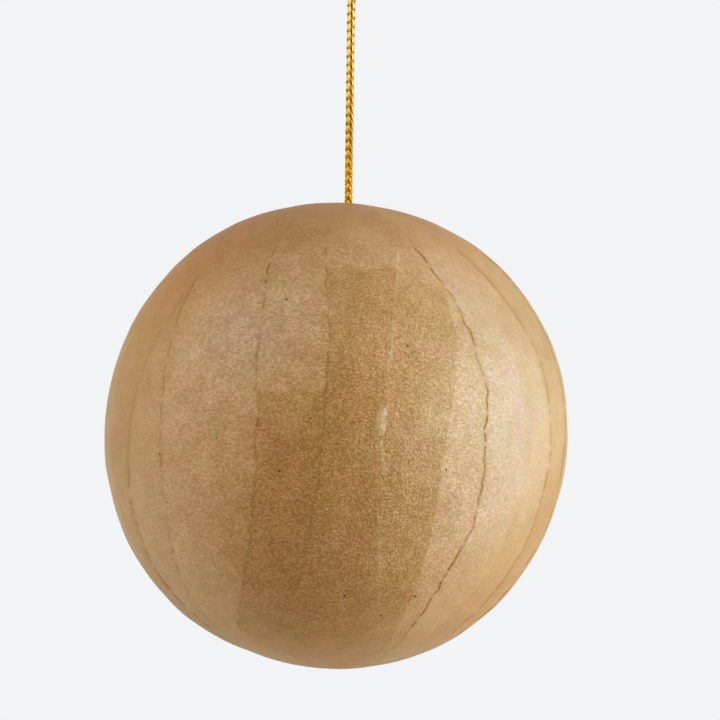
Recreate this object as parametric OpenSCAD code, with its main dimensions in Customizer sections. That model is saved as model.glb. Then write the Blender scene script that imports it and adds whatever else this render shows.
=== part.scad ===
// Paper mache ball ornament. A hollow ball is pasted up from strips of brown
// kraft paper that lap each other round the ball, with a round paper cap over
// the strip ends at each pole. It hangs on a loop of braided gold cord, whose
// two ends pass through one slot beside the top pole and are knotted inside.
// Millimetres, +Z up, front towards -Y. The origin is the hanging point: the
// underside of the cord's crown, where a hook or a twig bears.

/* [Ball] */
// Outside diameter of the ball, over its caps
ball_d = 76; // [60:1:100]
// Thickness of the pasted paper wall
wall = 1.8; // [1.2:0.1:3]
// Thickness of one sheet of the paper, which is the step at each lap
paper_t = 0.2; // [0.1:0.02:0.3]

/* [Strips] */
// Number of strips laid side by side round the ball
strip_count = 27; // [18:1:36]
// Angle of the first seam, to the right of the front
first_seam = -4; // [-10:1:10]
// Angle that each strip reaches under the next one
lap_angle = 4; // [3:0.5:6]
// Radius of the round cap over the strip ends at each pole
cap_r = 24; // [18:0.5:25]
// Distance that the strip ends reach in under each cap
cap_lap = 5; // [3:0.5:8]

/* [Cord] */
// Thickness of the braided cord
cord_d = 1.3; // [0.8:0.05:1.35]
// Distance of the cord slot from the upright axis of the ball
slot_offset = 2; // [1:0.5:4]
// Clearance round each strand where it passes through the wall
slot_clear = 0.15; // [0.1:0.05:0.4]
// Turns of cord in the knot
knot_turns = 3; // [2:1:4]
// Clearance between the knot and the inside of the wall
knot_clear = 0.15; // [0.1:0.05:0.3]
// Length of the cut cord ends below the knot
tail_l = 4; // [2:0.5:8]

/* [Hidden] */
$fn = 96;

kraft = [0.70, 0.56, 0.40];
gold = [0.83, 0.62, 0.18];

// The front leg of the cord, from the knot up to its crown. The other leg is
// the same one mirrored behind it. The cord's foot is at the top of the knot.
cord_leg = [
    [-0.5, -0.7, -37.5], [-0.5, -0.7, -36], [-0.48, -0.7, -34], [-0.45, -0.7, -31],
    [-0.4, -0.75, -28], [-0.36, -0.8, -25], [-0.32, -0.9, -22], [-0.28, -1.05, -19],
    [-0.24, -1.25, -16], [-0.2, -1.5, -13], [-0.15, -1.85, -10], [-0.1, -2.3, -7],
    [-0.05, -2.75, -4.5], [0, -3, -2.35], [0, -2.6, -0.85], [0, -1.5, 0.25]
];
crown = [0, 0, 0.65];
cord_sides = 8;

// The slot lies at the foot of the cord. The ball hangs below it at the cord's
// length, with its upright axis beside the slot.
slot_x = cord_leg[0].x;
strand_y = -cord_leg[0].y;
ball_top = -36.5;
outer_r = ball_d / 2;
inner_r = outer_r - wall;
ball_centre = [slot_x - slot_offset, 0, ball_top - outer_r];

// Each strip is a piece of a sphere whose centre is moved sideways, so that
// its leading edge stands one sheet above the strip that passes under it
pitch = 360 / strip_count;
strip_r = outer_r - paper_t;
strip_shift = paper_t / (2 * sin(pitch / 2));
core_r = outer_r - 2.5 * paper_t;
strip_root = cap_r - cap_lap;
reach = outer_r + wall;

// Second strips pasted over the first: [strip number, top and bottom latitude].
// A strip that runs to the lower cap ends under it.
under_cap = -acos(strip_root / strip_r);
patches = [
    [-1, 12, under_cap], [0, 43, under_cap], [1, 38, under_cap], [2, 38, 29],
    [5, 34, -38], [8, 44, -6], [11, 22, under_cap], [13, 40, -20],
    [16, 8, under_cap], [19, 42, -30], [22, 30, under_cap]
];

// The knot is the two strands with turns of cord wound round them, which press
// into the core and into each other. The core stands out past the strands and
// the turns, and meets the cord. Its seat is the inside of the wall, at the
// crest of the top turn.
press = 0.15;
core_stand = 0.1;
knot_core_r = strand_y + cord_d / 2 + core_stand;
turn_r = knot_core_r + cord_d / 2 - press;
turn_step = cord_d - press;
turn_top = sqrt(inner_r ^ 2 - (slot_offset + turn_r) ^ 2) - knot_clear;
knot_top = ball_centre.z + turn_top + core_stand;
knot_h = (knot_turns - 1) * turn_step + cord_d + 2 * core_stand;

function polar(r, angle) = r * [cos(angle), sin(angle)];

// A prism between two upright planes and two levels, clear of the ball's axis
module sector(from, to, low, high) {
    translate([0, 0, low])
        linear_extrude(high - low)
            polygon([
                polar(strip_root, from), polar(reach, from),
                polar(reach, to), polar(strip_root, to)
            ]);
}

// One strip of paper between two levels, with its leading edge at angle lead
module strip(lead, width, low, high, lift = 0) {
    intersection() {
        translate(polar(strip_shift, lead + pitch / 2 - 90))
            sphere(r = strip_r + lift);
        sector(lead, lead + width, low, high);
    }
}

// The strips are numbered from the front, which is towards -Y
function lead_of(i) = first_seam - 90 + i * pitch;

// A round cap of paper over the upper pole
module cap() {
    intersection() {
        sphere(r = outer_r);
        translate([0, 0, outer_r / 2])
            cylinder(r = cap_r, h = outer_r);
    }
}

// The slot beside the pole that lets the two strands through the wall
module cord_slot() {
    bore_r = cord_d / 2 + slot_clear;
    cut = 3 * wall;
    translate([slot_offset, 0, outer_r - 2 * wall]) {
        for (side = [-1, 1])
            translate([0, side * strand_y, 0])
                cylinder(r = bore_r, h = cut);
        translate([-bore_r, -strand_y, 0])
            cube([2 * bore_r, 2 * strand_y, cut]);
    }
}

module ball_shell() {
    color(kraft)
        translate(ball_centre)
            difference() {
                union() {
                    sphere(r = core_r);
                    for (i = [0 : strip_count - 1])
                        strip(lead_of(i), pitch + lap_angle, -strip_r, strip_r);
                    for (p = patches)
                        strip(lead_of(p[0]), pitch, strip_r * sin(p[2]),
                            strip_r * sin(p[1]), paper_t / 2);
                    cap();
                    mirror([0, 0, 1])
                        cap();
                }
                sphere(r = inner_r);
                cord_slot();
            }
}

// The whole route of the cord: up the front leg, over the crown, down behind
function mirrored(points) = [for (i = [len(points) - 1 : -1 : 0])
    [points[i].x, -points[i].y, points[i].z]];
half_route = concat([[slot_x, -strand_y, knot_top]], cord_leg);
cord_route = concat(half_route, [crown], mirrored(half_route));

// The direction of the route at point i, and a ring of corners square to it
function heading(route, i) =
    let (last = len(route) - 1, span = route[min(i + 1, last)] - route[max(i - 1, 0)])
    i == 0 || i == last ? [0, 0, sign(span.z)] : span / norm(span);
function ring(route, i) =
    let (across = [1, 0, 0], up = cross(heading(route, i), across))
    [for (k = [0 : cord_sides - 1])
        let (corner = polar(cord_d / 2, (k + 0.5) * 360 / cord_sides))
        route[i] + corner.x * across + corner.y * up];

module hanging_cord() {
    rings = len(cord_route);
    corners = [for (i = [0 : rings - 1]) each ring(cord_route, i)];
    walls = [for (i = [0 : rings - 2], k = [0 : cord_sides - 1])
        let (next = (k + 1) % cord_sides, low = i * cord_sides, high = low + cord_sides)
        [low + k, low + next, high + next, high + k]];
    foot = [for (k = [cord_sides - 1 : -1 : 0]) k];
    head = [for (k = [0 : cord_sides - 1]) (rings - 1) * cord_sides + k];
    color(gold)
        polyhedron(points = corners, faces = concat([foot, head], walls));
}

// Half the section of the knot: its core and the turns that grip it
module knot_profile() {
    square([knot_core_r, knot_h]);
    for (i = [0 : knot_turns - 1])
        translate([turn_r, core_stand + cord_d / 2 + i * turn_step])
            circle(d = cord_d);
}

module cord_knot() {
    color(gold)
        translate([slot_x, 0, knot_top - knot_h]) {
            rotate_extrude()
                knot_profile();
            for (side = [-1, 1])
                translate([0, side * strand_y, -tail_l])
                    cylinder(d = cord_d, h = tail_l + knot_h / 2);
        }
}

ball_shell();
hanging_cord();
cord_knot();
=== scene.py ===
"""The looks of the paper mache ball ornament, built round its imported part.

The ball's skin is one mesh. Its columns of points follow the seams between the paper strips, and
the laps, crinkled edges, patches and caps are real relief. The cord is a braid of four gold
strands. Lengths are in millimetres, and become metres where a mesh is made. On the ball, azimuth
is the angle from the front, which is towards -Y, to the right, and latitude is the height angle,
both in degrees.
"""

import math
from collections import namedtuple

import bpy
import numpy as np
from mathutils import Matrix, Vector


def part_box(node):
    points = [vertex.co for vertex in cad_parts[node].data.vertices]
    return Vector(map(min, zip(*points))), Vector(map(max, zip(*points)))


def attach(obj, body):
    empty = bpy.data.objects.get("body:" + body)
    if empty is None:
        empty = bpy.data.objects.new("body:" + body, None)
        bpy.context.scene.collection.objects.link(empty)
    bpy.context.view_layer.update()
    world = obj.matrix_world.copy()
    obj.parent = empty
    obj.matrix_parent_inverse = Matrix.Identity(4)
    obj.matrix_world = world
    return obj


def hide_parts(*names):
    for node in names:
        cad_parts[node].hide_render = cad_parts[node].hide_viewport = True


MM = 0.001
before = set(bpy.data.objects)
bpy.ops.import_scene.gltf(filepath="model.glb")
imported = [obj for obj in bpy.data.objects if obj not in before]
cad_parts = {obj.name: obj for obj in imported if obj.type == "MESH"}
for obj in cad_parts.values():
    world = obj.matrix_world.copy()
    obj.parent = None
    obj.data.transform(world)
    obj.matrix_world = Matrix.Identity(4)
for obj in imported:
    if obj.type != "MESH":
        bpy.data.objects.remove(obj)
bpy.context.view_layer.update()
shell_low, shell_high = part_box("ball_shell")
knot_low, knot_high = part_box("cord_knot")

# Sizes that the part's source states as well
SLOT_OFFSET = 2.0
WALL = 1.8
STRIPS = 27
FIRST_SEAM = -4.0
CAP_R = 24.0
CORD_D = 1.3
STRAND_Y = 0.7
SLOT_CLEAR = 0.15

BALL_R = (shell_high.z - shell_low.z) / 2 / MM
SLOT_X = (knot_low.x + knot_high.x) / 2 / MM
BALL_C = np.array([SLOT_X - SLOT_OFFSET, 0.0, (shell_low.z + shell_high.z) / 2 / MM])
KNOT_TOP = knot_high.z / MM
PITCH = 360 / STRIPS
CAP_LAT = math.degrees(math.acos(CAP_R / BALL_R))
MM_PER_DEGREE = BALL_R * math.pi / 180


# ---------------------------------------------------------------- general helpers

def smooth(low, high, x):
    """0 at low and 1 at high and past them, with an S-curve between. High may be below low."""
    t = np.clip((x - low) / (high - low), 0, 1)
    return t * t * (3 - 2 * t)


def between(start, end, share):
    """The value that lies share of the way from start to end."""
    return start + (end - start) * share


def bell(x, width, power=2):
    """1 where x is 0, falling to nothing past width on both sides. A higher power is flatter."""
    return np.exp(-(x / width) ** power)


def direction(azimuth, latitude):
    """Unit vectors for angles in degrees."""
    a, b = np.radians(azimuth), np.radians(latitude)
    return np.stack([np.cos(b) * np.sin(a), -np.cos(b) * np.cos(a), np.sin(b)], -1)


def unit(vectors):
    return vectors / np.linalg.norm(vectors, axis=1, keepdims=True)


def waves(points, wavelength, seed, count=28):
    """A smooth random field of about unit height at points, with no direction of its own."""
    rng = np.random.default_rng(seed)
    vectors = unit(rng.normal(size=(count, 3)))
    vectors *= 2 * math.pi / wavelength * rng.uniform(0.6, 1.4, (count, 1))
    phases = rng.uniform(0, 2 * math.pi, count)
    total = np.zeros(points.shape[:-1])
    for vector, phase in zip(vectors, phases):
        total += np.cos(points @ vector + phase)
    return total * math.sqrt(2 / count)


def uneven(points, *layers):
    """The sum of some random fields, each of them given by its wavelength, height and seed."""
    return sum(height * waves(points, wavelength, seed) for wavelength, height, seed in layers)


def next_in_ring(ring):
    """Each vertex of a closed ring with the one after it."""
    return zip(ring.tolist(), np.roll(ring, -1).tolist())


def ring_quads(index):
    """Faces between closed rings of vertices. Each row of index is a ring."""
    beyond = np.roll(index, -1, 1)
    return np.stack([index[:-1], beyond[:-1], beyond[1:], index[1:]], -1).reshape(-1, 4).tolist()


def add_mesh(name, points, faces, attributes=None, uv=None):
    """A smooth-shaded mesh object from points in millimetres."""
    mesh = bpy.data.meshes.new(name)
    mesh.from_pydata((np.asarray(points) * MM).tolist(), [], faces)
    for key, values in (attributes or {}).items():
        attribute = mesh.attributes.new(key, "FLOAT", "POINT")
        attribute.data.foreach_set("value", values.astype(np.float32))
    if uv is not None:
        corners = np.empty(len(mesh.loops), dtype=np.int32)
        mesh.loops.foreach_get("vertex_index", corners)
        layer = mesh.uv_layers.new(name="UVMap")
        layer.data.foreach_set("uv", uv[corners].astype(np.float32).ravel())
    mesh.shade_smooth()
    mesh.update()
    piece = bpy.data.objects.new(name, mesh)
    bpy.context.collection.objects.link(piece)
    return piece


# ---------------------------------------------------------------- the ball's strips

# Azimuths of the seams on the front half, at PATH_LATS. The others bend a little from even places.
PATH_LATS = (-50, -33, -17, 0, 17, 33, 50)
SEAM_PATHS = {
    -4: (-56, -59.8, -59.2, -57, -54, -49.5, -45),
    -3: (-51, -47.9, -44.4, -43.5, -44.5, -46.6, -49),
    -2: (-42, -37, -32.5, -31, -31.5, -33, -36),
    -1: (-37, -25.5, -19.5, -17, -18.2, -18.8, -22.5),
    0: (-20.5, -9.5, -5.2, -2.2, -1.4, -1.6, -3),
    1: (11, 11.1, 10.4, 11.3, 13, 16.5, 23),
    2: (22.6, 23.4, 24.3, 25.6, 29.8, 32.5, 28.5),
    3: (27, 32, 35.4, 36.6, 37.2, 34.8, 31.3),
    4: (41, 46.5, 49, 50, 50, 48, 44),
    5: (55, 58.5, 61, 62.3, 62, 57.5, 53),
}
# How a seam shows: its dark crease of painted shade, the share of it that is broken up, its half
# width, waviness and raised lip, and the step up to the next strip, the last four in mm
Look = namedtuple("Look", "crease broken half_width waviness lip step")
SEAM_LOOKS = {
    -4: Look(0.62, 0.05, 0.45, 0.16, 0.01, 0.020), -3: Look(0.70, 0.50, 0.24, 0.15, 0.01, 0.020),
    -2: Look(0.03, 0.60, 0.11, 0.12, 0.0, 0.010), -1: Look(1.05, 0.45, 0.15, 0.22, 0.01, 0.015),
    0: Look(0.85, 0.62, 0.12, 0.18, 0.005, 0.008), 1: Look(0.06, 0.90, 0.11, 0.22, 0.0, -0.006),
    2: Look(0.12, 0.60, 0.11, 0.15, 0.0, 0.010), 3: Look(1.25, 0.05, 0.18, 0.34, 0.005, 0.020),
    4: Look(0.03, 0.60, 0.11, 0.12, 0.0, 0.010), 5: Look(0.60, 0.15, 0.42, 0.18, 0.01, 0.020),
}
# On the other seams: how dark the painted shade in the crease may be, and the odds of each
CREASES, CREASE_ODDS = (0.10, 0.50, 0.80, 1.15), (0.25, 0.25, 0.30, 0.20)
# How strong a seam's crease is above and below FADE_LAT, where that isn't even: (top, bottom)
SEAM_FADES = {3: (0.95, 1.25), 0: (1.2, 0.8), -4: (0.5, 1.3)}
FADE_LAT = 25
UNDER_CAP = -60
# Second strips: (strip, top and bottom latitude, how dark they are at the top and at the bottom)
PATCHES = (
    (-1, 12, UNDER_CAP, 0.65, 0.62), (0, 43, UNDER_CAP, 0.62, 0.60), (1, 38, UNDER_CAP, 0.40, 0.50),
    (2, 38, 29, 0.3, 0.1), (5, 34, -38, 0.15, 0.2), (8, 44, -6, 0.8, 0.5),
    (11, 22, UNDER_CAP, 0.5, 0.9), (13, 40, -20, 0.3, 0.6), (16, 8, UNDER_CAP, 0.9, 0.8),
    (19, 42, -30, 0.6, 0.4), (22, 30, UNDER_CAP, 0.4, 0.8),
)
# Raised wrinkles along a seam: (seam, low and high latitude, height, how pale their crests are painted
# as a highlight, half width at the top and at the bottom, distance to the right of the seam at the top
# and at the bottom)
RIDGES = (
    (1, 0.6, 9.2, 0.14, 0.95, 0.54, 0.44, -0.35, -0.55),
    (1, -8.5, 2.6, 0.03, 0.55, 0.26, 0.30, -0.95, 1.0),
    (1, 12, 31, 0.04, 0.50, 0.20, 0.17, 0.0, 0.0),
    (1, 37, 52, 0.04, 0.55, 0.17, 0.17, -0.1, -0.1),
    (1, -42, -9, 0.02, 0.28, 0.28, 0.26, 0.1, 0.6),
    (-1, -29, -20, 0.04, 0.25, 0.20, 0.20, -0.1, -0.1),
    (8, -20, 4, 0.14, 0.8, 0.34, 0.24, 0.1, 0.1),
    (12, 10, 31, 0.09, 0.5, 0.22, 0.22, -0.1, 0.1),
    (16, -34, -12, 0.12, 0.7, 0.24, 0.34, 0.1, -0.1),
    (20, 2, 26, 0.12, 0.6, 0.28, 0.20, -0.1, 0.0),
)
# Folds and torn ends across the strips, with painted shade: (azimuth and latitude of each end, how dark)
FOLDS = (
    (20, 38.5, 35, 37.5, 0.5), (-46, 55, -23, 50.5, 0.45), (-12, -41, -24, -54, 0.35),
    (27, -49, 19, -52, 0.6), (16, 1.0, 25, 0.2, 0.25), (150, 40, 171, 44, 0.4),
    (-130, -38, -112, -43, 0.4),
)
# How the ball isn't round, in mm. Its front view is stretched and squared, upright and on the slant,
# and its side view is squared.
FRONT_STRETCH, FRONT_SLANT = -0.11, 0.095
FRONT_SQUARE, FRONT_SLANT_SQUARE = -0.128, 0.161
SIDE_SQUARE, SIDE_SLANT_SQUARE = 0.06, -0.072
# Heights of the relief in mm. A seam shows through the cap over it by the share TELEGRAPH.
PATCH_LIFT = 0.02
CAP_LIFT = 0.03
CREASE_DEPTH = 0.045
TELEGRAPH = 0.4
MEAN_RELIEF = 0.03
# To the right of a seam, in mm, its raised lip and its soft shade, how wide each is, and how much
LIP_AT, LIP_WIDTH = 0.25, 0.22
SHADE_AT, SHADE_WIDTH, SHADE = -0.1, 0.40, 0.05
# Out from the slot's middle, in mm, where the paper is drawn in, pleated and darkened with painted
# shade, how wide each of these is, and how much
PUCKER_AT, PUCKER_WIDTH, PUCKER = 0.8, 0.9, 0.16
PLEATS_WIDTH = 3.5
SLOT_SHADE_AT, SLOT_SHADE_WIDTH, SLOT_SHADE = 1.0, 0.5, 0.7
# Random unevenness: (wavelength in mm, height or amount, seed)
LUMPS = ((26, 0.05, 1), (9, 0.03, 2), (3.5, 0.010, 3))
CAP_WANDER = (11, 0.35, 4)
CAP_LUMPS = (5, 0.015, 5)
CAP_BREAKS = (9, 1.0, 6)
PLEATS = (3, 0.05, 8)
STAIN_CLOUDS = ((22, 0.10, 9), (5, 0.08, 10))
# The end of a patch fades out in degrees, slowly under a cap and fast where it is torn
SOFT_END, TORN_END = 6, 0.25
# How dark the painted shade is along the edge of a patch, and of the upper and lower cap
PATCH_EDGE = 0.16
CAP_EDGES = (0.30, 0.06)

# Places on the paper: (azimuth, latitude, radius in degrees, amount). It is greener and darker in
# some of them, and paler and bluer where the amount is below 0. On the front they are partly painted
# light: painted shade in the lower middle and along the upper rims, and painted highlights and sheen
# at the upper left and on the right.
STAINS_SHADE_AND_SHEEN = (
    (-6, -36, 24, 0.50), (3, -14, 26, 0.60), (-26, 27, 20, -1.2), (-72, 46, 20, 0.4), (0, 80, 24, 0.3),
    (42, 3, 18, -0.65), (20, -2, 9, -0.40), (30, 4, 9, -0.20), (45, -48, 16, 0.4), (48, 38, 16, -0.25),
    (60, 2, 15, -0.5), (-56, 56, 14, 0.3), (76, -10, 16, 0.55), (16, 50, 11, -0.5), (-34, 22, 7, -0.4),
    (-48, -36, 14, -0.5), (-35, -14, 9, -0.35), (-22, 24, 8, -0.6), (27, -30, 9, -0.5),
    (-12, -22, 7, 0.45), (22, 5, 7, -0.5), (5, 10, 8, 0.35), (-62, -30, 18, -0.2), (130, 20, 24, 0.4),
    (175, -30, 28, 0.5), (-140, 5, 20, -0.3), (-100, 40, 22, 0.3),
)
STAIN_LEVEL = 0.90
# It is browner in these places, which low on the front and round its rims is painted shade
TANS_AND_SHADE = (
    (-8, -26, 32, 1.2), (-10, 4, 16, 0.3), (-75, 40, 18, 0.7), (-5, 80, 28, 1.4), (58, 52, 18, 1.2),
    (58, -42, 22, 1.3), (72, -12, 14, 0.4), (7, 13, 12, 0.6), (12, 36, 12, 0.5), (-60, 48, 18, 1.2),
    (0, -72, 28, 1.0), (150, 0, 30, 0.9), (-150, -40, 24, 0.8), (100, 30, 20, 0.5),
)
# Its tooth is filled with paste and rubbed smooth, and it is a little darker there, as painted shade
# round the front's rims
RUBBED_AND_SHADED = (
    (62, 0, 27, 1.1), (-66, 0, 27, 1.0), (0, 75, 28, 0.75), (0, -72, 28, 0.8), (55, 42, 22, 0.8),
    (52, -42, 22, 0.8), (-52, 42, 22, 0.6), (-52, -42, 22, 0.6), (118, 30, 25, 0.6), (130, -35, 22, 0.7),
    (-120, 25, 22, 0.6), (-150, -20, 24, 0.8), (165, 40, 20, 0.5),
)
# Strips made paler: (strip, how pale). On the front, strips 2 to 4 carry a painted sheen and strips
# -1 to -3 a painted highlight; the others are of a paler sheet.
PALE_AND_SHEEN_STRIPS = (
    (2, 0.45), (3, 0.85), (4, 0.40), (-1, 0.10), (-2, 0.15), (-3, 0.12), (9, 0.2), (10, 0.2),
    (-9, 0.25),
)

# The seeds of the other random draws. Those made for each seam, strip or fold add its number.
STRIP_SEED = 7
PATH_SEED, LOOK_SEED = 100, 200
KINK_SEED, FINE_KINK_SEED = 300, 400
DASH_SEED, SWELL_SEED, RIDGE_SEED = 500, 600, 700
RAGGED_SEED, FINE_RAGGED_SEED, EDGE_SEED, FOLD_SEED = 800, 820, 840, 900

# Rows run from the bottom pole up to the slot's rim, closer together over the strips and at the
# patches' ends. Columns crowd in at each seam, EDGE_OFFSETS mm to either side of it, and closer
# still on a strip that is narrower than NARROW mm.
CAP_ROWS, STRIP_ROWS = 17, 236
FINE_LAT = 56
BOTTOM_LAT = -89.2
EDGE_OFFSETS = np.array([0.07, 0.21, 0.50])
MIDDLE_COLUMNS = 6
NARROW = 4
# A distance in mm past everything that lies along a seam
FAR = 99.0
# Above this latitude the rows turn from circles to the slot's rim
TOP_FADE_LAT = 60
# The slot's rim turns down into its wall over this many mm
SLOT_TURN = 0.5
# Latitudes of the rings on the inside of the shell
INNER_LATS = np.linspace(86, -88, 12)
edge_lats = [lat + side for lat in (43, 38, 12) for side in (-0.12, 0.12)]
row_lats = np.sort(np.concatenate([
    np.linspace(BOTTOM_LAT, -FINE_LAT, CAP_ROWS, endpoint=False),
    np.linspace(-FINE_LAT, FINE_LAT, STRIP_ROWS),
    np.linspace(FINE_LAT, 90, CAP_ROWS + 1)[1:],
    edge_lats,
]))
# The rows' distances in mm up the ball, as numbers and as points on a line
row_mm = row_lats * MM_PER_DEGREE
row_line = np.stack([row_mm, 0 * row_mm, 0 * row_mm], -1)


def through(xs, ys, x):
    """A smooth curve through a few points, held level past its ends."""
    xs, ys = np.asarray(xs, float), np.asarray(ys, float)
    slopes = np.gradient(ys, xs)
    x = np.clip(x, xs[0], xs[-1])
    k = np.clip(np.searchsorted(xs, x) - 1, 0, len(xs) - 2)
    step = xs[k + 1] - xs[k]
    t = (x - xs[k]) / step
    start = (1 + 2 * t) * (1 - t) ** 2 * ys[k] + t * (1 - t) ** 2 * step * slopes[k]
    return start + t * t * (3 - 2 * t) * ys[k + 1] + t * t * (t - 1) * step * slopes[k + 1]


def seam_index(i):
    """The seam's number counted from the one left of the front, as the tables above count."""
    return (i + STRIPS // 2) % STRIPS - STRIPS // 2


def seam_path(number):
    """The azimuth of a seam on every row, without its crinkles."""
    if number in SEAM_PATHS:
        return through(PATH_LATS, SEAM_PATHS[number], row_lats)
    rng = np.random.default_rng(PATH_SEED + number)
    lean, bow = rng.uniform(-2.5, 2.5), rng.uniform(-5, 1)
    end = PATH_LATS[-1]
    bends = [lean * lat / end + bow * (lat / end) ** 2 for lat in PATH_LATS]
    return FIRST_SEAM + number * PITCH + through(PATH_LATS, bends, row_lats)


def seam_look(number):
    if number in SEAM_LOOKS:
        return SEAM_LOOKS[number]
    rng = np.random.default_rng(LOOK_SEED + number)
    crease = rng.choice(CREASES, p=CREASE_ODDS)
    waviness, step = rng.uniform(0.14, 0.30), rng.uniform(0.01, 0.04)
    return Look(crease, 0.58 - 0.5 * crease, 0.12 + 0.07 * crease, waviness, 0.01 * crease, step)


def kinks(spacing, seed):
    """A jagged random line of about unit height up the rows, which bends at uneven steps."""
    rng = np.random.default_rng(seed)
    count = int((row_mm[-1] - row_mm[0]) / spacing)
    knots = np.linspace(row_mm[0], row_mm[-1], count) + rng.uniform(-0.4, 0.4, count) * spacing
    return np.interp(row_mm, knots, rng.normal(size=count))


def mm_per_azimuth(highest):
    """Millimetres round the ball for each degree of azimuth, held level past a latitude."""
    return MM_PER_DEGREE * np.cos(np.radians(np.clip(row_lats, -highest, highest)))


def seam_line(i):
    """Azimuth of seam i on every row, with its crinkles."""
    number = seam_index(i)
    crinkle = 0.6 * kinks(5, KINK_SEED + i) + 0.6 * kinks(1.5, FINE_KINK_SEED + i)
    whole_turns = 360 * round((i - number) / STRIPS)
    return seam_path(number) + whole_turns + seam_look(number).waviness * crinkle / mm_per_azimuth(54)


def grid_columns():
    """Azimuth of each vertex, the strip it is on, and its distances in mm from that strip's seams."""
    seams = np.array([seam_line(i) for i in range(STRIPS + 1)])
    seams[-1] = seams[0] + 360
    scale = mm_per_azimuth(75)
    azimuths, strips, lefts, rights = [], [], [], []
    for i in range(STRIPS):
        width = (seams[i + 1] - seams[i]) * scale
        near = [e * np.minimum(1, width / NARROW) for e in EDGE_OFFSETS]
        shares = np.arange(1, MIDDLE_COLUMNS + 1) / (MIDDLE_COLUMNS + 1)
        inner = [between(near[-1], width - near[-1], share) for share in shares]
        for offset in near + inner + [width - e for e in near[::-1]]:
            azimuths.append(seams[i] + offset / scale)
            strips.append(np.full(len(row_lats), i))
            lefts.append(offset)
            rights.append(width - offset)
    return [np.array(part).T for part in (azimuths, strips, lefts, rights)]


def squared(across, up, upright, slant):
    """Lumps on the four sides of a view, and on its slants, from two parts of a direction."""
    sides = across ** 4 - 6 * across ** 2 * up ** 2 + up ** 4
    slants = 4 * across * up * (across ** 2 - up ** 2)
    return upright * sides + slant * slants


def silhouette_lumps(d):
    """The ball isn't quite round: it is a little square in its front view and uneven elsewhere."""
    x, y, z = d[..., 0], d[..., 1], d[..., 2]
    stretch = FRONT_STRETCH * (x ** 2 - z ** 2) + FRONT_SLANT * 2 * x * z
    front = squared(x, z, FRONT_SQUARE, FRONT_SLANT_SQUARE)
    side = squared(y, z, SIDE_SQUARE, SIDE_SLANT_SQUARE)
    return stretch + front + side * y ** 2


def distance_to_fold(spot, azimuth, latitude, end_azimuth, end_latitude):
    """Distance in mm from points on the ball to a wandering fold, and how far along it they are."""
    start = direction(azimuth, latitude) * BALL_R
    run = direction(end_azimuth, end_latitude) * BALL_R - start
    share = np.clip((spot - start) @ run / (run @ run), -0.1, 1.1)
    seed = FOLD_SEED + int(latitude)
    wander = 0.3 * np.stack([waves(spot, 4, seed + k) for k in range(3)], -1)
    return np.linalg.norm(spot + wander - start - share[..., None] * run, axis=-1), share


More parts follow.
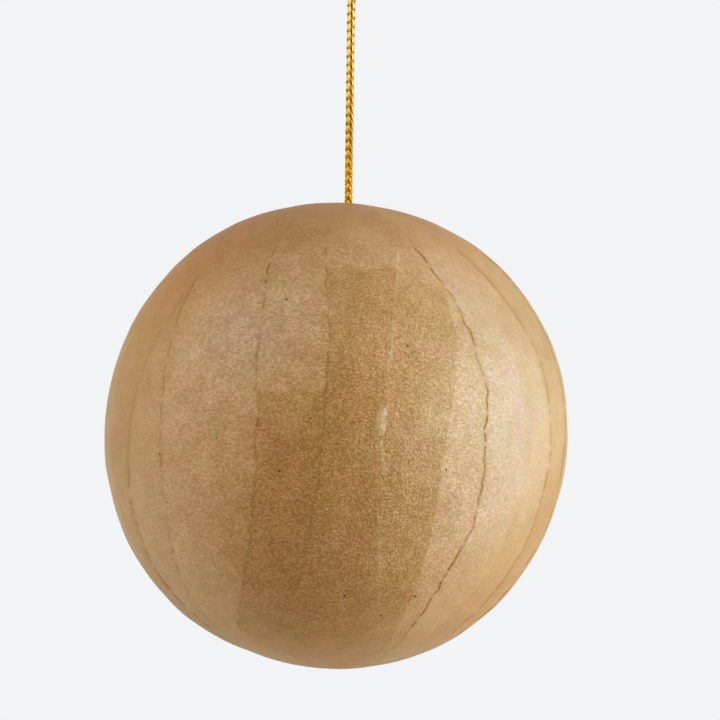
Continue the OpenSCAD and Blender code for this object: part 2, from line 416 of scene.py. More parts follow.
class Skin:
    """The grid of the ball's skin: where its vertices lie, their heights over the ball's own radius,
    and the fields that the paper's material reads."""

    def __init__(self):
        self.azimuth, self.strip, self.left, self.right = grid_columns()
        self.latitude = np.repeat(row_lats[:, None], self.azimuth.shape[1], 1)
        self.facing = direction(self.azimuth, self.latitude)
        self.spot = self.facing * BALL_R
        self.height = silhouette_lumps(self.facing)
        keys = ("tone", "olive", "tan", "rubbed", "crease", "ridge_highlight")
        self.fields = {key: np.zeros_like(self.azimuth) for key in keys}
        self.from_equator = np.abs(self.latitude) + uneven(self.spot, CAP_WANDER)
        self.cap = smooth(CAP_LAT - 0.5, CAP_LAT + 0.5, self.from_equator)
        under_cap = 1 - (1 - TELEGRAPH) * self.cap
        self.seam_share = under_cap * (1 - smooth(58, 68, self.from_equator))

    def raise_field(self, key, values):
        self.fields[key] = np.maximum(self.fields[key], values)

    def add_lumps(self):
        self.height += uneven(self.spot, *LUMPS)

    def add_laps(self):
        """Each strip tilts across its width, so that it steps up to the next one."""
        steps = np.array([seam_look(seam_index(i)).step for i in range(STRIPS)])
        share = self.left / (self.left + self.right)
        tilt = steps[self.strip] * (1 - share) - steps[(self.strip + 1) % STRIPS] * share
        self.height += (1 - self.cap) * 0.5 * tilt

    def add_seam(self, i):
        """The crease along seam i, broken up in places, with its lip and its wrinkles, and painted shade
        in the crease and beside it.
        """
        number = seam_index(i)
        look = seam_look(number)
        on_left = self.strip == (i - 1) % STRIPS
        distance = np.where(self.strip == i, self.left, np.where(on_left, -self.right, FAR))
        whole = 1.6 * (0.75 - look.broken)
        dashes = smooth(-0.4, 0.7, waves(row_line, 2.0, DASH_SEED + i) + whole)[:, None]
        swell = 0.8 + 0.2 * np.clip(waves(row_line, 9, SWELL_SEED + i), -1, 1)[:, None]
        fade_top, fade_bottom = SEAM_FADES.get(number, (1, 1))
        fade = between(fade_bottom, fade_top, smooth(-FADE_LAT, FADE_LAT, self.latitude))
        shown = swell * self.seam_share
        crease = look.crease * dashes * shown * fade * bell(distance + 0.02, look.half_width)
        self.height += look.lip * shown * bell(distance - LIP_AT, LIP_WIDTH) - CREASE_DEPTH * crease
        self.raise_field("crease", crease)
        beside = SHADE * bell(distance - SHADE_AT, SHADE_WIDTH)
        self.fields["tone"] -= look.crease * shown * beside
        for seam, *ridge in RIDGES:
            if seam == number:
                self.add_ridge(distance, RIDGE_SEED + i, *ridge)

    def add_ridge(self, distance, seed, low, high, rise, pale, wide_top, wide_bottom, off_top,
                  off_bottom):
        """A raised wrinkle with a painted highlight on its crest and painted shade on its right side."""
        up = np.clip((self.latitude - low) / (high - low), 0, 1)
        ripple = 0.85 + uneven(row_line, (1.2, 0.20, seed))[:, None]
        taper = smooth(0, 0.35, up) * (1 - smooth(0.72, 1.0, up)) * ripple
        wide = between(wide_bottom, wide_top, up) * (0.75 + 0.25 * taper)
        off = distance - between(off_bottom, off_top, up)
        crest = taper * bell(off, wide, 4)
        self.height += rise * crest
        self.raise_field("ridge_highlight", pale * crest)
        self.fields["tone"] -= 0.6 * rise * taper * bell(off - 1.9 * wide, wide)

    def tint_strips(self):
        """Each strip has a tone of its own, and some are paler, on the front partly as a painted sheen.
        """
        rng = np.random.default_rng(STRIP_SEED)
        tones = rng.uniform(-0.02, 0.02, STRIPS)
        paleness = rng.uniform(-0.10, 0.10, STRIPS)
        for number, pale in PALE_AND_SHEEN_STRIPS:
            paleness[number] = pale
        self.fields["tone"] += (1 - self.cap) * tones[self.strip]
        self.fields["olive"] -= (1 - 0.5 * self.cap) * paleness[self.strip]

    def add_patch(self, number, top, bottom, dark_top, dark_bottom):
        """A second strip pasted over one of the strips, with ragged ends and painted shade at its top.
        """
        on_strip = self.strip == number % STRIPS
        coarse, fine = (5, 0.40, RAGGED_SEED + number), (1.6, 0.22, FINE_RAGGED_SEED + number)
        ragged = self.latitude + uneven(self.spot, coarse, fine)
        soft = SOFT_END if bottom == UNDER_CAP else TORN_END
        over_bottom = smooth(bottom - soft, bottom + 2 * soft, ragged)
        inside = over_bottom * (1 - smooth(top - 0.3, top + 0.3, ragged)) * on_strip
        up = np.clip((self.latitude - bottom) / (top - bottom), 0, 1)
        self.height += PATCH_LIFT * inside
        self.fields["olive"] += between(dark_bottom, dark_top, up) * inside
        broken = smooth(-0.6, 0.6, waves(self.spot, 3, EDGE_SEED + number))
        self.raise_field("crease", PATCH_EDGE * bell(ragged - top, 0.35) * on_strip * broken)

    def add_fold(self, azimuth, latitude, end_azimuth, end_latitude, dark):
        gap, share = distance_to_fold(self.spot, azimuth, latitude, end_azimuth, end_latitude)
        force = dark * smooth(0, 0.15, share) * (1 - smooth(0.85, 1, share))
        self.height -= 0.5 * CREASE_DEPTH * force * bell(gap, 0.25)
        self.raise_field("crease", force * bell(gap, 0.22))

    def add_caps(self):
        self.height += self.cap * (CAP_LIFT + uneven(self.spot, CAP_LUMPS))
        broken = smooth(-0.2, 1.0, uneven(self.spot, CAP_BREAKS))
        edge = bell(self.from_equator - CAP_LAT, 0.35) * broken
        self.raise_field("crease", np.where(self.latitude > 0, *CAP_EDGES) * edge)

    def add_stains(self):
        # On the front the stains and tans partly are painted shade, highlights and sheen
        self.fields["olive"] += STAIN_LEVEL + uneven(self.spot, *STAIN_CLOUDS)
        for key, places in (("olive", STAINS_SHADE_AND_SHEEN), ("tan", TANS_AND_SHADE), ("rubbed", RUBBED_AND_SHADED)):
            for azimuth, latitude, radius, amount in places:
                nearness = np.clip(self.facing @ direction(azimuth, latitude), -1, 1)
                self.fields[key] += amount * bell(np.degrees(np.arccos(nearness)), radius)


def make_skin():
    skin = Skin()
    skin.add_lumps()
    skin.add_laps()
    for i in range(STRIPS):
        skin.add_seam(i)
    skin.tint_strips()
    for patch in PATCHES:
        skin.add_patch(*patch)
    for fold in FOLDS:
        skin.add_fold(*fold)
    skin.add_caps()
    skin.add_stains()
    skin.height -= MEAN_RELIEF
    return skin


def slot_outline(azimuth):
    """The rim of the cord's slot: two half circles joined by straight sides."""
    a = np.radians(azimuth)
    bore = CORD_D / 2 + SLOT_CLEAR
    x, y = np.sin(a), -np.cos(a)
    return np.stack([SLOT_OFFSET + bore * x, bore * y + STRAND_Y * np.clip(y * 2.5, -1, 1)], -1)


def outer_points(skin):
    """The outside's vertices. The top rings turn from circles round the pole to the slot's rim."""
    radius = BALL_R + skin.height
    fade = np.clip((skin.latitude - TOP_FADE_LAT) / (90 - TOP_FADE_LAT), 0, 1)[..., None]
    ring = direction(skin.azimuth, np.full_like(skin.latitude, TOP_FADE_LAT))[..., :2] * BALL_R
    flat = between(ring, slot_outline(skin.azimuth), fade)
    from_slot = np.linalg.norm(flat - [SLOT_OFFSET, 0], axis=-1)
    around = direction(skin.azimuth, 0 * skin.azimuth) * 6
    pleats = bell(from_slot, PLEATS_WIDTH) * uneven(around, PLEATS)
    pucker = PUCKER * bell(from_slot - PUCKER_AT, PUCKER_WIDTH)
    top_z = np.sqrt(np.maximum((radius + pleats - pucker) ** 2 - (flat ** 2).sum(-1), 0))
    top = np.concatenate([flat, top_z[..., None]], -1)
    slot_shade = SLOT_SHADE * bell(from_slot - SLOT_SHADE_AT, SLOT_SHADE_WIDTH)
    skin.raise_field("crease", slot_shade * (fade[..., 0] > 0))
    return np.where(fade > 0, top, skin.facing * radius[..., None])


def inner_points(azimuth, slot_top):
    """Rings of vertices down the slot's wall and over the inside of the shell to its bottom."""
    inner_r = BALL_R - WALL
    rim = slot_outline(azimuth)
    levels = (slot_top - SLOT_TURN, math.sqrt(inner_r ** 2 - SLOT_OFFSET ** 2))
    rings = [np.concatenate([rim, np.full((len(rim), 1), z)], -1) for z in levels]
    rings += [direction(azimuth, np.full(len(rim), lat)) * inner_r for lat in INNER_LATS]
    return np.array(rings)


def make_ball():
    skin = make_skin()
    outer = outer_points(skin)
    inner = inner_points(skin.azimuth[-1], outer[-1, 0, 2])
    rows = np.concatenate([outer, inner])
    index = np.arange(rows[..., 0].size).reshape(rows.shape[:2])
    outer_pole, inner_pole = index.size, index.size + 1
    poles = [[0, 0, -BALL_R - skin.height[0, 0]], [0, 0, WALL - BALL_R]]
    points = np.concatenate([rows.reshape(-1, 3), poles]) + BALL_C
    faces = ring_quads(index)
    faces += [[outer_pole, b, a] for a, b in next_in_ring(index[0])]
    faces += [[inner_pole, a, b] for a, b in next_in_ring(index[-1])]
    rest = np.zeros(len(points) - skin.height.size)
    attributes = {key: np.append(values, rest) for key, values in skin.fields.items()}
    return add_mesh("paper_skin", points, faces, attributes)


# ---------------------------------------------------------------- the cord

# The front leg, repeated from the part's source, and the crown. The other leg is mirrored behind.
CORD_LEG = (
    (-0.5, -0.7, -37.5), (-0.5, -0.7, -36), (-0.48, -0.7, -34), (-0.45, -0.7, -31),
    (-0.4, -0.75, -28), (-0.36, -0.8, -25), (-0.32, -0.9, -22), (-0.28, -1.05, -19),
    (-0.24, -1.25, -16), (-0.2, -1.5, -13), (-0.15, -1.85, -10), (-0.1, -2.3, -7),
    (-0.05, -2.75, -4.5), (0, -3, -2.35), (0, -2.6, -0.85), (0, -1.5, 0.25),
)
CROWN = (0, 0, 0.65)
ROUTE_STEPS = 24
# The braid: length of one whole turn of a strand, its half width and half thickness, how far out
# it lies, how far it swings in and out and dips as it crosses a groove, and how much it lingers
# and plumps up where it lies on top
LAY = 2.74
RINGS_PER_LAY = 24
STRAND_SIDES = 12
STRAND_WIDE, STRAND_THICK = 0.42, 0.24
BRAID_R, BRAID_WEAVE = 0.31, 0.10
GROOVE_DIP = 0.02
LINGER = 0.45
PLUMP = 0.12
# Which way the braid faces: (height, turn in degrees)
BRAID_TURN = ((-38, 44), (-27, 30), (-16, 17), (0, 10))
# The painted shade in the grooves fades out towards the ball, from the first height down to the second
SHADE_FADE_HEIGHTS = (-24, -33)
HALF_TURN, QUARTER_TURN = math.pi, math.pi / 2
strand_angles = np.arange(STRAND_SIDES) * 2 * math.pi / STRAND_SIDES


def cord_route():
    """The cord's centre line as closely spaced points, smooth through the route's own points."""
    half = [(SLOT_X, -STRAND_Y, KNOT_TOP)] + list(CORD_LEG)
    knots = np.array(half + [CROWN] + [(x, -y, z) for x, y, z in reversed(half)], float)
    padded = np.vstack([2 * knots[0] - knots[1], knots, 2 * knots[-1] - knots[-2]])
    route = []
    for p0, p1, p2, p3 in zip(padded, padded[1:], padded[2:], padded[3:]):
        for t in np.linspace(0, 1, ROUTE_STEPS, endpoint=False):
            squared = (2 * p0 - 5 * p1 + 4 * p2 - p3) * t * t
            cubed = (3 * p1 - p0 - 3 * p2 + p3) * t ** 3
            route.append(0.5 * (2 * p1 + (p2 - p0) * t + squared + cubed))
    route.append(knots[-1])
    return np.array(route)


def arc_lengths(route):
    return np.concatenate([[0], np.cumsum(np.linalg.norm(np.diff(route, axis=0), axis=1))])


def resample(route, count):
    """The route as evenly spaced points, and how far along it each of them is."""
    at = arc_lengths(route)
    want = np.linspace(0, at[-1], count)
    return np.stack([np.interp(want, at, route[:, k]) for k in range(3)], -1), want


def tangents(path):
    return unit(np.gradient(path, axis=0))


def square_to(along, wish):
    """The unit vectors square to along that are nearest to the ones wished for."""
    return unit(wish - (wish * along).sum(1, keepdims=True) * along)


class Braid:
    """The path of the whole cord, with two directions square to it and its turn at each point."""

    def __init__(self, path, at):
        self.path, self.at = path, at
        along = tangents(path)
        self.across = square_to(along, np.array([1.0, 0.0, 0.0]))
        self.outward = np.cross(along, self.across)
        self.twist = np.radians(np.interp(path[:, 2], *zip(*BRAID_TURN)))

    def strand(self, way, lead, start):
        """One strand's rings of vertices, and how bright each vertex is. It winds one way or the
        other, from the angle start. Strands with another lead pass under where it passes over."""
        turn = 2 * math.pi * self.at / LAY
        over = 2 * (turn - math.pi / 4 + lead)
        theta = start + way * (turn - LINGER * np.sin(over)) + self.twist
        radius = BRAID_R + BRAID_WEAVE * np.cos(over) - GROOVE_DIP * np.sin(over) ** 2
        out = np.cos(theta)[:, None] * self.across + np.sin(theta)[:, None] * self.outward
        centre = self.path + radius[:, None] * out
        along = tangents(centre)
        out = square_to(along, out)
        side = np.cross(along, out)
        wide = STRAND_WIDE * np.cos(strand_angles)[:, None] * side[:, None]
        thick = STRAND_THICK * np.sin(strand_angles)[:, None] * out[:, None]
        plump = (1 + PLUMP * np.cos(over))[:, None, None]
        rings = centre[:, None] + plump * (wide + thick)
        return rings, self.crest(rings, over)

    def crest(self, rings, over):
        """1 on the top of a strand, and less where it passes under and in the grooves, as painted shade
        that is deepest in the grooves facing the front and the back.
        """
        off = rings - self.path[:, None]
        sideways = (off * self.across[:, None]).sum(-1)
        facing = np.arctan2((off * self.outward[:, None]).sum(-1), sideways) - self.twist[:, None]
        on_top = 0.62 + 0.38 * smooth(-0.75, 0.40, np.cos(over))
        crest = np.outer(on_top, smooth(-0.20, 0.75, np.sin(strand_angles)))
        groove = 1 - smooth(0.05, 0.80, np.abs(np.sin(2 * facing)))
        crest *= 1 - groove * (0.15 + 0.77 * np.sin(facing) ** 2)
        shade_fade = 0.85 * smooth(*SHADE_FADE_HEIGHTS, self.path[:, 2:3])
        return between(crest, 0.6, shade_fade)


def make_cord():
    """Four strands that pass over and under each other: two wind one way and two the other."""
    route = cord_route()
    length = arc_lengths(route)[-1]
    path, at = resample(route, int(length / LAY * RINGS_PER_LAY))
    braid = Braid(path, at)
    strands = [braid.strand(way, lead, lead + start)
               for way, lead in ((1, 0), (-1, QUARTER_TURN)) for start in (0, HALF_TURN)]
    points = np.concatenate([rings.reshape(-1, 3) for rings, _ in strands])
    crest = np.concatenate([bright.ravel() for _, bright in strands])
    round_strand = strand_angles[None, :] / (2 * math.pi)
    uv = np.stack(np.broadcast_arrays(round_strand, at[:, None]), -1).reshape(-1, 2)
    faces = []
    for index in np.arange(len(points)).reshape(len(strands), len(path), STRAND_SIDES):
        faces += ring_quads(index) + [index[0, ::-1].tolist(), index[-1].tolist()]
    uvs = np.tile(uv, (len(strands), 1))
    return add_mesh("braided_cord", points, faces, {"crest": crest}, uvs), path, length


# ---------------------------------------------------------------- materials

# Dark bits of fibre in the paper: (azimuth, latitude, radius in mm). Each fades out over FLECK_FADE.
DARK_FLECKS = (
    (-13, 34, 0.17), (-10.5, 31, 0.06), (18, 22, 0.10), (16, 14, 0.10), (-12, -6, 0.12),
    (3, -37, 0.15), (24, -38, 0.15), (15, -44, 0.09), (26, -6, 0.11), (41, -14, 0.09),
    (-44, -3, 0.10), (-43, -14, 0.06), (-45, 37, 0.08), (-27, 1, 0.07), (110, 12, 0.15),
    (163, -20, 0.14), (-150, 25, 0.14), (-95, -28, 0.13),
)
FLECK_FADE = 0.15
WHITE = (1, 1, 1)
KRAFT = (0.465, 0.327, 0.190)
# Plain kraft a little darker, where the paper is rubbed smooth: painted shade round the front's rims
PASTED_AND_SHADED = (0.448, 0.316, 0.180)
# The painted highlight on the crests of the raised wrinkles
RIDGE_HIGHLIGHT = (0.66, 0.56, 0.36)
FLECK = (0.05, 0.032, 0.010)
# The colour of the painted glints, highlights where fibres catch the light
GLINT = (0.78, 0.70, 0.50)
# Tints that the paper's colour is multiplied by
OLIVE = (0.86, 0.79, 0.64)
TAN = (1.0, 0.90, 0.79)
# Where the paper is paler than plain kraft it turns bluer too, partly as a painted sheen and highlight
BLEACH_AND_SHEEN = (1.03, 1.09, 1.34)
# The tint of the painted shade in creases and folds, along the edges of patches and caps, and round the
# slot
CREASE_SHADE = (0.56, 0.37, 0.03)
# Sizes in mm of the paper's grain, pulp, fibres, specks and tooth, and of the cells that each hold
# one random dark fleck or one pale glint
GRAIN, PULP, FIBRES, SPECKS, TOOTH = 0.24, 0.50, 0.26, 0.33, 0.38
FLECK_CELLS, GLINT_CELLS = 6.5, 1.9
# Broader noises that the colour follows: (size in mm, amount)
MOTTLES = ((2.6, 0.06), (9, 0.05))
# How strongly the red, the green and the blue change where the paper is paler or darker
PALER = (0.86, 1.07, 1.72)
PAPER_SPECULAR = 0.15
# The ways that the fibres lie, as turns of the noise that draws them
FIBRE_TURNS = ((0.3, 0.2, 0.1), (1.2, 0.5, 0.9), (0.1, 1.3, 2.1))
# Faint changes of hue: (size in mm, turn, amount)
BLUSHES = ((2.4, (0.7, 1.1, 0.2), 1.1), (9, (1.9, 0.3, 1.4), 0.9))
# The gold is bright at the crown, and browner towards the ball
GOLD_TOP = (0.62, 0.40, 0.10)
GOLD_LOW = (0.46, 0.235, 0.013)
GOLD_HEIGHTS = (-32, -6)
# How finely the threads are drawn: round and along a strand of the braid, and each way on the knot
BRAID_THREADS = (7, 2.2, 1)
KNOT_THREADS = (900, 900, 1500)
# The painted shade on the gold, in the braid's grooves and at random on the knot
GOLD_SHADE = (0.10, 0.04, 0.001)
GLITTER = (0.85, 0.66, 0.26)


class Nodes:
    """Builds a node material. Each call adds a node and returns its output. Sizes are in mm."""

    def __init__(self, name):
        self.material = bpy.data.materials.new(name)
        self.material.use_nodes = True
        self.tree = self.material.node_tree
        self.shader = self.tree.nodes["Principled BSDF"]
        self.place = self.add("ShaderNodeTexCoord").outputs["Object"]

    def add(self, kind, **settings):
        node = self.tree.nodes.new(kind)
        for key, value in settings.items():
            setattr(node, key, value)
        return node

    def put(self, socket, value):
        if isinstance(value, bpy.types.NodeSocket):
            self.tree.links.new(value, socket)
        elif isinstance(value, (tuple, list)) and len(value) == 3 and socket.type == "RGBA":
            socket.default_value = (*value, 1)
        else:
            socket.default_value = value

    def math(self, operation, a, b=0.0, clamp=False):
        node = self.add("ShaderNodeMath", operation=operation, use_clamp=clamp)
        self.put(node.inputs[0], a)
        self.put(node.inputs[1], b)
        return node.outputs[0]

    def span(self, value, low, high, to_low=0.0, to_high=1.0):
        node = self.add("ShaderNodeMapRange", interpolation_type="SMOOTHSTEP")
        for socket, part in zip(node.inputs, (value, low, high, to_low, to_high)):
            self.put(socket, part)
        return node.outputs[0]

    def mix(self, share, a, b, blend="MIX"):
        node = self.add("ShaderNodeMix", data_type="RGBA", blend_type=blend)
        self.put(node.inputs[0], share)
        self.put(node.inputs[6], a)
        self.put(node.inputs[7], b)
        return node.outputs[2]

    def tinted(self, share, colour, tint):
        return self.mix(share, colour, tint, "MULTIPLY")

    def stretched(self, scale=(1, 1, 1), turn=(0, 0, 0), place=None):
        node = self.add("ShaderNodeMapping")
        node.inputs["Scale"].default_value = scale
        node.inputs["Rotation"].default_value = turn
        self.put(node.inputs["Vector"], self.place if place is None else place)
        return node.outputs[0]

    def noise(self, size, detail=2.0, roughness=0.5, place=None):
        node = self.add("ShaderNodeTexNoise")
        self.put(node.inputs["Vector"], self.place if place is None else place)
        node.inputs["Scale"].default_value = 1 / (size * MM)
        node.inputs["Detail"].default_value = detail
        node.inputs["Roughness"].default_value = roughness
        return node.outputs["Fac"]

    def cells(self, size):
        node = self.add("ShaderNodeTexVoronoi")
        self.put(node.inputs["Vector"], self.place)
        node.inputs["Scale"].default_value = 1 / (size * MM)
        return node.outputs["Distance"]

    def attribute(self, name):
        return self.add("ShaderNodeAttribute", attribute_name=name).outputs["Fac"]

    def bump(self, height, strength, distance, normal=None):
        node = self.add("ShaderNodeBump")
        self.put(node.inputs["Strength"], strength)
        node.inputs["Distance"].default_value = distance * MM
        self.put(node.inputs["Height"], height)
        if normal is not None:
            self.put(node.inputs["Normal"], normal)
        return node.outputs[0]

    def finish(self, colour, normal, roughness, **fixed):
        self.put(self.shader.inputs["Base Color"], colour)
        self.put(self.shader.inputs["Normal"], normal)
        self.put(self.shader.inputs["Roughness"], roughness)
        for key, value in fixed.items():
            self.shader.inputs[key.replace("_", " ")].default_value = value
        return self.material


def shade(colour, amount):
    """The colour made lighter and paler by amount, or darker and richer where it is negative."""
    return tuple(part * (1 + amount * share) for part, share in zip(colour, PALER))


def contrast(n, field, low, high, amount, colour=WHITE):
    """The colour shaded darker by amount where a noise field is low, and lighter where it is high."""
    return n.mix(n.span(field, low, high), shade(colour, -amount), shade(colour, amount))


def fibre_mask(n):
    """Fine pale fibres that lie several ways."""
    mask = 0.0
    for turn in FIBRE_TURNS:
        streak = n.noise(FIBRES, 1, 0.4, n.stretched((1, 0.2, 1), turn))
        mask = n.math("MAXIMUM", mask, n.span(streak, 0.60, 0.72))
    return mask


def fleck_mask(n):
    """The flecks of the table above, and small random ones all over."""
    some = n.span(n.noise(9, 1), 0.47, 0.5)
    mask = n.math("MULTIPLY", n.span(n.cells(FLECK_CELLS), 0.008, 0.020, 0.8, 0), some)
    for azimuth, latitude, size in DARK_FLECKS:
        spot = (direction(azimuth, latitude) * BALL_R + BALL_C) * MM
        gap = n.add("ShaderNodeVectorMath", operation="DISTANCE")
        n.put(gap.inputs[0], n.place)
        gap.inputs[1].default_value = spot.tolist()
        near = n.span(gap.outputs["Value"], size * MM, (size + FLECK_FADE) * MM, 0.9, 0)
        mask = n.math("MAXIMUM", mask, near)
    return mask


def paper_colour(n, pulp, fibres):
    """Clean kraft paper, with fine grain, pulp, broad mottling and pale fibres."""
    colour = contrast(n, n.noise(GRAIN, 1), 0.30, 0.70, 0.13, KRAFT)
    fields = [(pulp, 0.15)] + [(n.noise(size), amount) for size, amount in MOTTLES]
    for field, amount in fields:
        colour = n.tinted(1.0, colour, contrast(n, field, 0.35, 0.65, amount))
    return n.mix(n.math("MULTIPLY", fibres, 0.22), colour, shade(KRAFT, 0.55))


def blushed(n, colour):
    """The colour wandering a little between greener and pinker."""
    for size, turn, amount in BLUSHES:
        field = n.noise(size, place=n.stretched(turn=turn))
        greener = (1 - 0.015 * amount, 1, 1 - 0.04 * amount)
        pinker = (1 + 0.015 * amount, 1 - 0.012 * amount, 1 + 0.01 * amount)
        colour = n.tinted(1.0, colour, n.mix(n.span(field, 0.35, 0.65), greener, pinker))
    return colour


def stained(n, colour):
    """The colour with the strips' tones, and with the stains, tans and paler places painted on the skin,
    which on the front partly are painted shade, highlights and sheen.
    """
    colour = n.tinted(1.0, colour, n.math("ADD", n.attribute("tone"), 1.0))
    for field, tint in (("olive", OLIVE), ("tan", TAN)):
        amount = n.attribute(field)
        for share in (amount, n.math("SUBTRACT", amount, 1.0)):
            colour = n.tinted(share, colour, tint)
    return n.tinted(n.math("MULTIPLY", n.attribute("olive"), -1.0), colour, BLEACH_AND_SHEEN)


def glinting(n, colour):
    """The colour with a few small painted glints, where fibres catch the light."""
    some = n.span(n.noise(3, 1), 0.52, 0.6)
    glints = n.math("MULTIPLY", n.span(n.cells(GLINT_CELLS), 0.05, 0.085, 1, 0), some)
    return n.mix(n.math("MULTIPLY", glints, 0.5), colour, GLINT)


def kraft_material():
    """Kraft paper with an open tooth, softer and a little darker where it is rubbed, with painted shade
    in the creases, painted highlights on the wrinkles' crests and a few painted glints.
    """
    n = Nodes("kraft_paper")
    pulp = n.noise(PULP, place=n.stretched((0.8, 0.8, 1.4)))
    specks = n.noise(SPECKS, 2, 0.6)
    fibres = fibre_mask(n)
    tooth = n.span(n.attribute("rubbed"), 0.0, 1.0, 1.0, 0.40)
    colour = blushed(n, n.mix(tooth, PASTED_AND_SHADED, paper_colour(n, pulp, fibres)))
    coarse = n.span(n.attribute("olive"), 0.7, 1.7, 0.25, 1.0)
    dots = contrast(n, specks, 0.32, 0.68, 0.20)
    colour = stained(n, n.tinted(n.math("MULTIPLY", coarse, tooth), colour, dots))
    # A painted highlight on the wrinkles' crests
    colour = n.mix(n.math("MULTIPLY", n.attribute("ridge_highlight"), 0.55), colour, RIDGE_HIGHLIGHT)

    torn = n.math("MULTIPLY", n.span(pulp, 0.3, 0.6, 0.55, 1.1), n.span(specks, 0.36, 0.58, 0.5, 1.1))
    # Painted shade in the creases, broken up by the pulp
    crease = n.math("MULTIPLY", n.attribute("crease"), torn, clamp=True)
    flecks = fleck_mask(n)
    colour = n.mix(flecks, n.tinted(crease, colour, CREASE_SHADE), FLECK)
    colour = glinting(n, colour)

    matt = n.math("MULTIPLY", n.math("MAXIMUM", flecks, crease), 0.95)
    roughness = n.math("MAXIMUM", n.span(pulp, 0.3, 0.7, 0.46, 0.56), matt)
    normal = n.bump(n.noise(TOOTH, 2, 0.6), n.math("MULTIPLY", tooth, 0.9), 0.22)
    normal = n.bump(n.noise(2.2), 0.22, 0.10, normal)
    normal = n.bump(fibres, 0.18, 0.05, normal)
    return n.finish(colour, normal, roughness, Specular_IOR_Level=PAPER_SPECULAR)


def gold_material(n, thread_place, lit):
    """Metallic gold thread, with its fine threads drawn along a place, and dark where it isn't lit."""
    spark = n.noise(0.30, 1)
    threads = n.add("ShaderNodeTexWave", wave_type="BANDS", bands_direction="DIAGONAL")
    threads.inputs["Scale"].default_value = 1.0
    threads.inputs["Distortion"].default_value = 0.6
    n.put(threads.inputs["Vector"], thread_place)
    height = n.add("ShaderNodeSeparateXYZ")
    n.put(height.inputs[0], n.place)
    low, high = GOLD_HEIGHTS
    gold = n.mix(n.span(height.outputs["Z"], low * MM, high * MM), GOLD_LOW, GOLD_TOP)
    colour = n.mix(lit, GOLD_SHADE, gold)
    colour = n.mix(n.math("MULTIPLY", n.span(spark, 0.60, 0.80), 0.25), colour, GLITTER)
    normal = n.bump(threads.outputs["Fac"], 0.16, 0.03)
    return n.finish(colour, normal, n.span(spark, 0.3, 0.7, 0.45, 0.55), Metallic=1.0)


def braid_gold():
    """Gold whose threads run along each strand, with painted shade in the grooves."""
    n = Nodes("gold_braid")
    uv = n.add("ShaderNodeUVMap", uv_map="UVMap").outputs[0]
    lit = n.span(n.attribute("crest"), 0.20, 0.65)
    return gold_material(n, n.stretched(BRAID_THREADS, place=uv), lit)


def knot_gold():
    n = Nodes("gold_knot")
    lit = n.span(n.noise(0.8, 1), 0.3, 0.7)
    return gold_material(n, n.stretched(KNOT_THREADS), lit)


# ---------------------------------------------------------------- camera, stage and light

CAMERA_DISTANCE = 328.0
CAMERA_LENS, SENSOR_WIDTH = 100.0, 36.0
CAMERA_CLIP = 10.0
VIEW_CENTRE = (3.87, 12.2)
# The floor lies this far below the ball. It shows this much of the ball's shadow, and fades into
# the backdrop between two distances.
FLOOR_DROP = 70.0
FLOOR_SHADOW = 0.6
FLOOR_FADE = (120.0, 330.0)
STAGE_HALF = 1500.0
PALE = (0.89, 0.90, 0.91)
FLOOR_PALE = (0.82, 0.82, 0.80)
AMBIENT = 0.03
AMBIENT_COLOUR = (1.0, 0.96, 0.90)
# Soft boxes: (name, azimuth, elevation, distance, width, height, power, colour)
LIGHTS = (
    ("right_window", 72, 6, 500, 280, 420, 4.30, (0.90, 0.97, 1.0)),
    ("left_window", -84, -11, 500, 300, 420, 2.05, (0.96, 1.0, 0.92)),
    ("high_window", -40, 44, 500, 280, 280, 1.50, (1.0, 0.80, 0.58)),
    ("back_window", 178, 4, 500, 300, 200, 2.00, (1.0, 0.96, 0.88)),
)
# A soft box further round than this gives no reflections
GLOSSY_AZIMUTH = 120


def make_camera():
    data = bpy.data.cameras.new("camera")
    data.lens = CAMERA_LENS
    data.sensor_width = SENSOR_WIDTH
    data.clip_start = CAMERA_CLIP * MM
    camera = bpy.data.objects.new("camera", data)
    right, up = VIEW_CENTRE
    camera.location = Vector((BALL_C[0] + right, -CAMERA_DISTANCE, BALL_C[2] + up)) * MM
    camera.rotation_euler = (math.pi / 2, 0, 0)
    bpy.context.collection.objects.link(camera)
    bpy.context.scene.camera = camera


def bright_rays(tree):
    """1 for the rays that see the backdrop: the camera's, and those through gloss and glass."""
    rays = tree.nodes.new("ShaderNodeLightPath")
    most = rays.outputs["Is Camera Ray"]
    for ray in ("Is Glossy Ray", "Is Transmission Ray"):
        either = tree.nodes.new("ShaderNodeMath")
        either.operation = "MAXIMUM"
        tree.links.new(most, either.inputs[0])
        tree.links.new(rays.outputs[ray], either.inputs[1])
        most = either.outputs[0]
    return most


def floor_material():
    """A pale matt floor. It takes the ball's shadow, and fades into the backdrop further out."""
    n = Nodes("pale_floor")
    n.tree.nodes.remove(n.shader)
    matt = n.add("ShaderNodeBsdfDiffuse")
    n.put(matt.inputs["Color"], FLOOR_PALE)
    glow = n.add("ShaderNodeEmission")
    n.put(glow.inputs["Color"], PALE)
    reach = n.add("ShaderNodeVectorMath", operation="LENGTH")
    n.put(reach.inputs[0], n.place)
    near, far = FLOOR_FADE
    share = n.span(reach.outputs["Value"], near * MM, far * MM, 1 - FLOOR_SHADOW, 1)
    mix = n.add("ShaderNodeMixShader")
    n.put(mix.inputs[0], n.math("MULTIPLY", bright_rays(n.tree), share))
    n.put(mix.inputs[1], matt.outputs[0])
    n.put(mix.inputs[2], glow.outputs[0])
    n.put(n.tree.nodes["Material Output"].inputs["Surface"], mix.outputs[0])
    return n.material


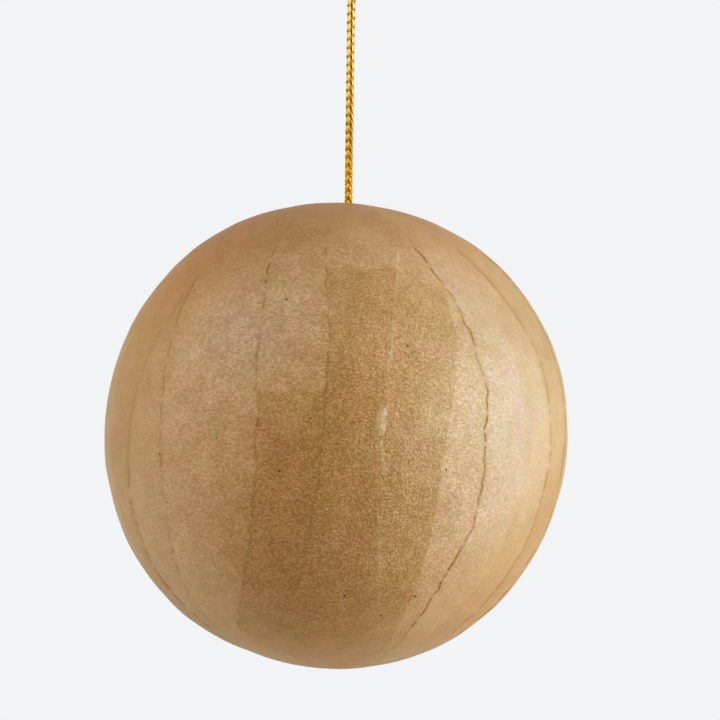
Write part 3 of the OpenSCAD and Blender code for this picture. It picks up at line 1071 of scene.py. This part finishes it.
def make_stage():
    corners = [(x * STAGE_HALF, y * STAGE_HALF, 0) for x, y in ((-1, -1), (1, -1), (1, 1), (-1, 1))]
    floor = add_mesh("floor", corners, [(0, 1, 2, 3)])
    floor.location = Vector((BALL_C[0], 0, BALL_C[2] - BALL_R - FLOOR_DROP)) * MM
    floor.data.materials.append(floor_material())


def add_light(name, azimuth, elevation, distance, width, height, power, colour):
    """A soft box aimed at the ball. Azimuth is from the front, to the right."""
    data = bpy.data.lights.new(name, "AREA")
    data.shape = "RECTANGLE"
    data.size, data.size_y = width * MM, height * MM
    data.energy = power
    data.color = colour
    light = bpy.data.objects.new(name, data)
    light.location = Vector((direction(azimuth, elevation) * distance + BALL_C) * MM)
    aim = Vector(BALL_C * MM) - light.location
    light.rotation_euler = aim.to_track_quat("-Z", "Y").to_euler()
    light.visible_camera = False
    light.visible_glossy = abs(azimuth) < GLOSSY_AZIMUTH
    bpy.context.collection.objects.link(light)


def make_world():
    """The pale backdrop for the rays that see it, and a faint warm ambient light for the rest."""
    world = bpy.data.worlds.new("world")
    bpy.context.scene.world = world
    world.use_nodes = True
    tree = world.node_tree
    tree.nodes.clear()
    out = tree.nodes.new("ShaderNodeOutputWorld")
    ambient = tree.nodes.new("ShaderNodeBackground")
    ambient.inputs["Color"].default_value = (*AMBIENT_COLOUR, 1)
    ambient.inputs["Strength"].default_value = AMBIENT
    seen = tree.nodes.new("ShaderNodeBackground")
    seen.inputs["Color"].default_value = (*PALE, 1)
    mix = tree.nodes.new("ShaderNodeMixShader")
    tree.links.new(bright_rays(tree), mix.inputs[0])
    tree.links.new(ambient.outputs[0], mix.inputs[1])
    tree.links.new(seen.outputs[0], mix.inputs[2])
    tree.links.new(mix.outputs[0], out.inputs[0])


# ---------------------------------------------------------------- build

make_camera()
make_stage()
make_world()
for light in LIGHTS:
    add_light(*light)

skin = make_ball()
skin.data.materials.append(kraft_material())
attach(skin, "root")
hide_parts("ball_shell")

cord, cord_path, cord_length = make_cord()
cord.data.materials.append(braid_gold())
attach(cord, "root")
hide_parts("hanging_cord")

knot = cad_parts["cord_knot"]
knot.material_slots[0].material = knot_gold()

bpy.context.scene.view_settings.view_transform = "Standard"
